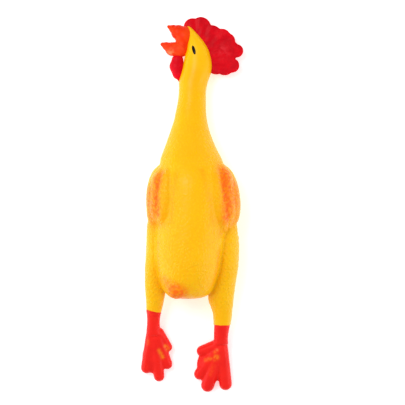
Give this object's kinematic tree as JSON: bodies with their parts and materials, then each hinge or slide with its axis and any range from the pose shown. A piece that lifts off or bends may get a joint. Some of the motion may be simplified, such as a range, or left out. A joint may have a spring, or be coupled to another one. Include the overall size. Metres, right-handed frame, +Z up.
{
  "type": "rubber chicken",
  "caption": "Soft hollow plucked rubber chicken with a bending neck, a flopping comb, swinging feet, a belly to squeeze and a squeaker in the rump.",
  "frame": {"origin": "middle of the flat moulded patch on the back, which is what it rests on", "axes": "+Y towards the head, +Z up out of the belly, +X towards the chicken's left side"},
  "size_m": [0.1142, 0.4189, 0.0747],
  "materials": {
    "yellow_skin": "soft moulded vinyl, pimpled",
    "red_comb": "soft painted vinyl, mottled",
    "orange_beak": "soft painted vinyl",
    "red_feet": "soft painted vinyl, worn",
    "orange_blush": "airbrushed vinyl",
    "black_paint": "gloss paint",
    "squeaker_white": "moulded polyethylene",
    "reed_brass": "thin sheet"
  },
  "bodies": {
    "torso": {"torso_skin": "yellow_skin", "left_wing": "yellow_skin", "right_wing": "yellow_skin", "left_thigh": "yellow_skin", "right_thigh": "yellow_skin", "tail_nub": "orange_blush", "squeaker_cup": "squeaker_white", "squeaker_grille": "squeaker_white", "reed_plate": "squeaker_white"},
    "belly": {"belly_panel": "yellow_skin"},
    "reed_tongue": {"reed": "reed_brass"},
    "neck_low": {"neck_base": "yellow_skin"},
    "neck_high": {"neck_top": "yellow_skin"},
    "head": {"head_skin": "yellow_skin", "upper_beak": "orange_beak", "wattle": "red_comb", "left_eye": "black_paint", "right_eye": "black_paint", "comb_root": "red_comb"},
    "jaw": {"lower_beak": "orange_beak"},
    "comb": {"comb_blade": "red_comb"},
    "right_shin": {"right_leg_upper": "yellow_skin"},
    "right_hock": {"right_leg_lower": "red_feet"},
    "right_paw": {"right_foot": "red_feet"},
    "left_shin": {"left_leg_upper": "yellow_skin"},
    "left_hock": {"left_leg_lower": "red_feet"},
    "left_paw": {"left_foot": "red_feet"}
  },
  "joints": [
    {"name": "belly_squeeze", "type": "slide", "parent": "torso", "child": "belly", "axis": [0, 0, -1], "range_m": [0, 0.014], "stiffness_N_per_m": 400},
    {"name": "neck_lift", "type": "hinge", "parent": "torso", "child": "neck_low", "pos_m": [-0.0033, 0.104, 0.022], "axis": [1, 0, 0], "range_deg": [-30, 30], "stiffness_Nm_per_rad": 1.2},
    {"name": "neck_sway", "type": "hinge", "parent": "neck_low", "child": "neck_high", "pos_m": [-0.0022, 0.129, 0.0185], "axis": [0, 0, 1], "range_deg": [-40, 40], "stiffness_Nm_per_rad": 0.6},
    {"name": "head_nod", "type": "hinge", "parent": "neck_high", "child": "head", "pos_m": [-0.0004, 0.152, 0.016], "axis": [1, 0, 0], "range_deg": [-35, 35], "stiffness_Nm_per_rad": 0.6},
    {"name": "jaw_squeeze", "type": "hinge", "parent": "head", "child": "jaw", "pos_m": [-0.009, 0.197, 0.015], "axis": [0, 0, -1], "range_deg": [0, 6], "stiffness_Nm_per_rad": 0.05},
    {"name": "comb_flop", "type": "hinge", "parent": "head", "child": "comb", "pos_m": [0.02005, 0.1973, 0.015], "axis": [-0.4494, 0.8934, 0], "range_deg": [-35, 35], "stiffness_Nm_per_rad": 0.1},
    {"name": "right_hip_lift", "type": "hinge", "parent": "torso", "child": "right_shin", "pos_m": [-0.0428, -0.086, 0.02], "axis": [1, 0, 0], "range_deg": [-33, 33], "stiffness_Nm_per_rad": 0.4},
    {"name": "right_knee_splay", "type": "hinge", "parent": "right_shin", "child": "right_hock", "pos_m": [-0.0438, -0.103, 0.017], "axis": [0, 0, 1], "range_deg": [-25, 25], "stiffness_Nm_per_rad": 0.3},
    {"name": "right_ankle_flap", "type": "hinge", "parent": "right_hock", "child": "right_paw", "pos_m": [-0.0444, -0.1185, 0.014], "axis": [1, 0, 0], "range_deg": [-35, 35], "stiffness_Nm_per_rad": 0.2},
    {"name": "left_hip_lift", "type": "hinge", "parent": "torso", "child": "left_shin", "pos_m": [0.033, -0.093, 0.02], "axis": [1, 0, 0], "range_deg": [-33, 33], "stiffness_Nm_per_rad": 0.4},
    {"name": "left_knee_splay", "type": "hinge", "parent": "left_shin", "child": "left_hock", "pos_m": [0.0324, -0.112, 0.017], "axis": [0, 0, 1], "range_deg": [-25, 25], "stiffness_Nm_per_rad": 0.3},
    {"name": "left_ankle_flap", "type": "hinge", "parent": "left_hock", "child": "left_paw", "pos_m": [0.0314, -0.1295, 0.014], "axis": [1, 0, 0], "range_deg": [-35, 35], "stiffness_Nm_per_rad": 0.2},
    {"name": "reed_flutter", "type": "hinge", "parent": "torso", "child": "reed_tongue", "pos_m": [-0.005, -0.0689, 0.036], "axis": [1, 0, 0], "range_deg": [-8, 1], "stiffness_Nm_per_rad": 0.0005}
  ]
}
